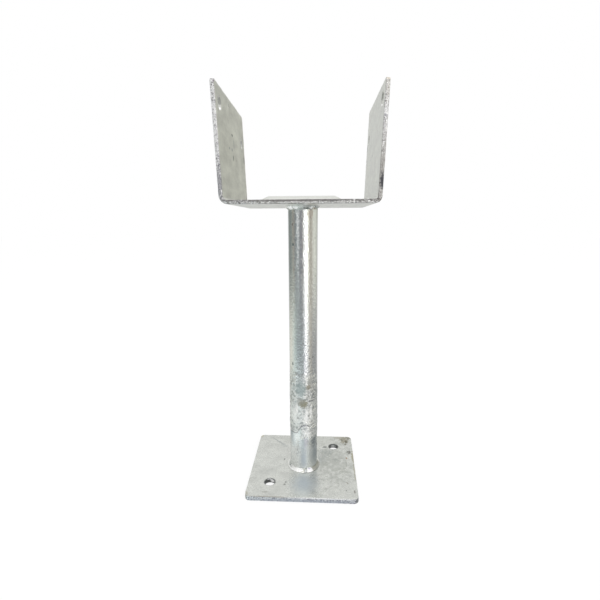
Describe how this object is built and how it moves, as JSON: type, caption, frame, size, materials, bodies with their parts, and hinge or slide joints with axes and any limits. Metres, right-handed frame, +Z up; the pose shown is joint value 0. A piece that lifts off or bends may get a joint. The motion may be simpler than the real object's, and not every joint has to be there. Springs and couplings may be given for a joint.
{
  "type": "timber post base",
  "caption": "Bolt-down galvanised stand for a timber post: square base plate, round pipe leg and a folded saddle whose ears are bolted to the post.",
  "frame": {"origin": "centre of the base plate's underside, on the pipe's axis", "axes": "+Z up along the pipe, +X across the saddle from ear to ear, +Y along the folds towards the low bolt holes"},
  "size_m": [0.1654, 0.13, 0.441],
  "materials": {
    "galvanised_sheet": "satin",
    "galvanised_plate": "satin",
    "galvanised_pipe": "satin",
    "galvanised_weld": "satin"
  },
  "bodies": {
    "root": {"base_plate": "galvanised_plate", "pipe_leg": "galvanised_pipe", "foot_weld": "galvanised_weld", "neck_weld": "galvanised_weld", "saddle": "galvanised_sheet", "seat_plate": "galvanised_sheet", "seat_weld": "galvanised_weld"}
  },
  "joints": []
}
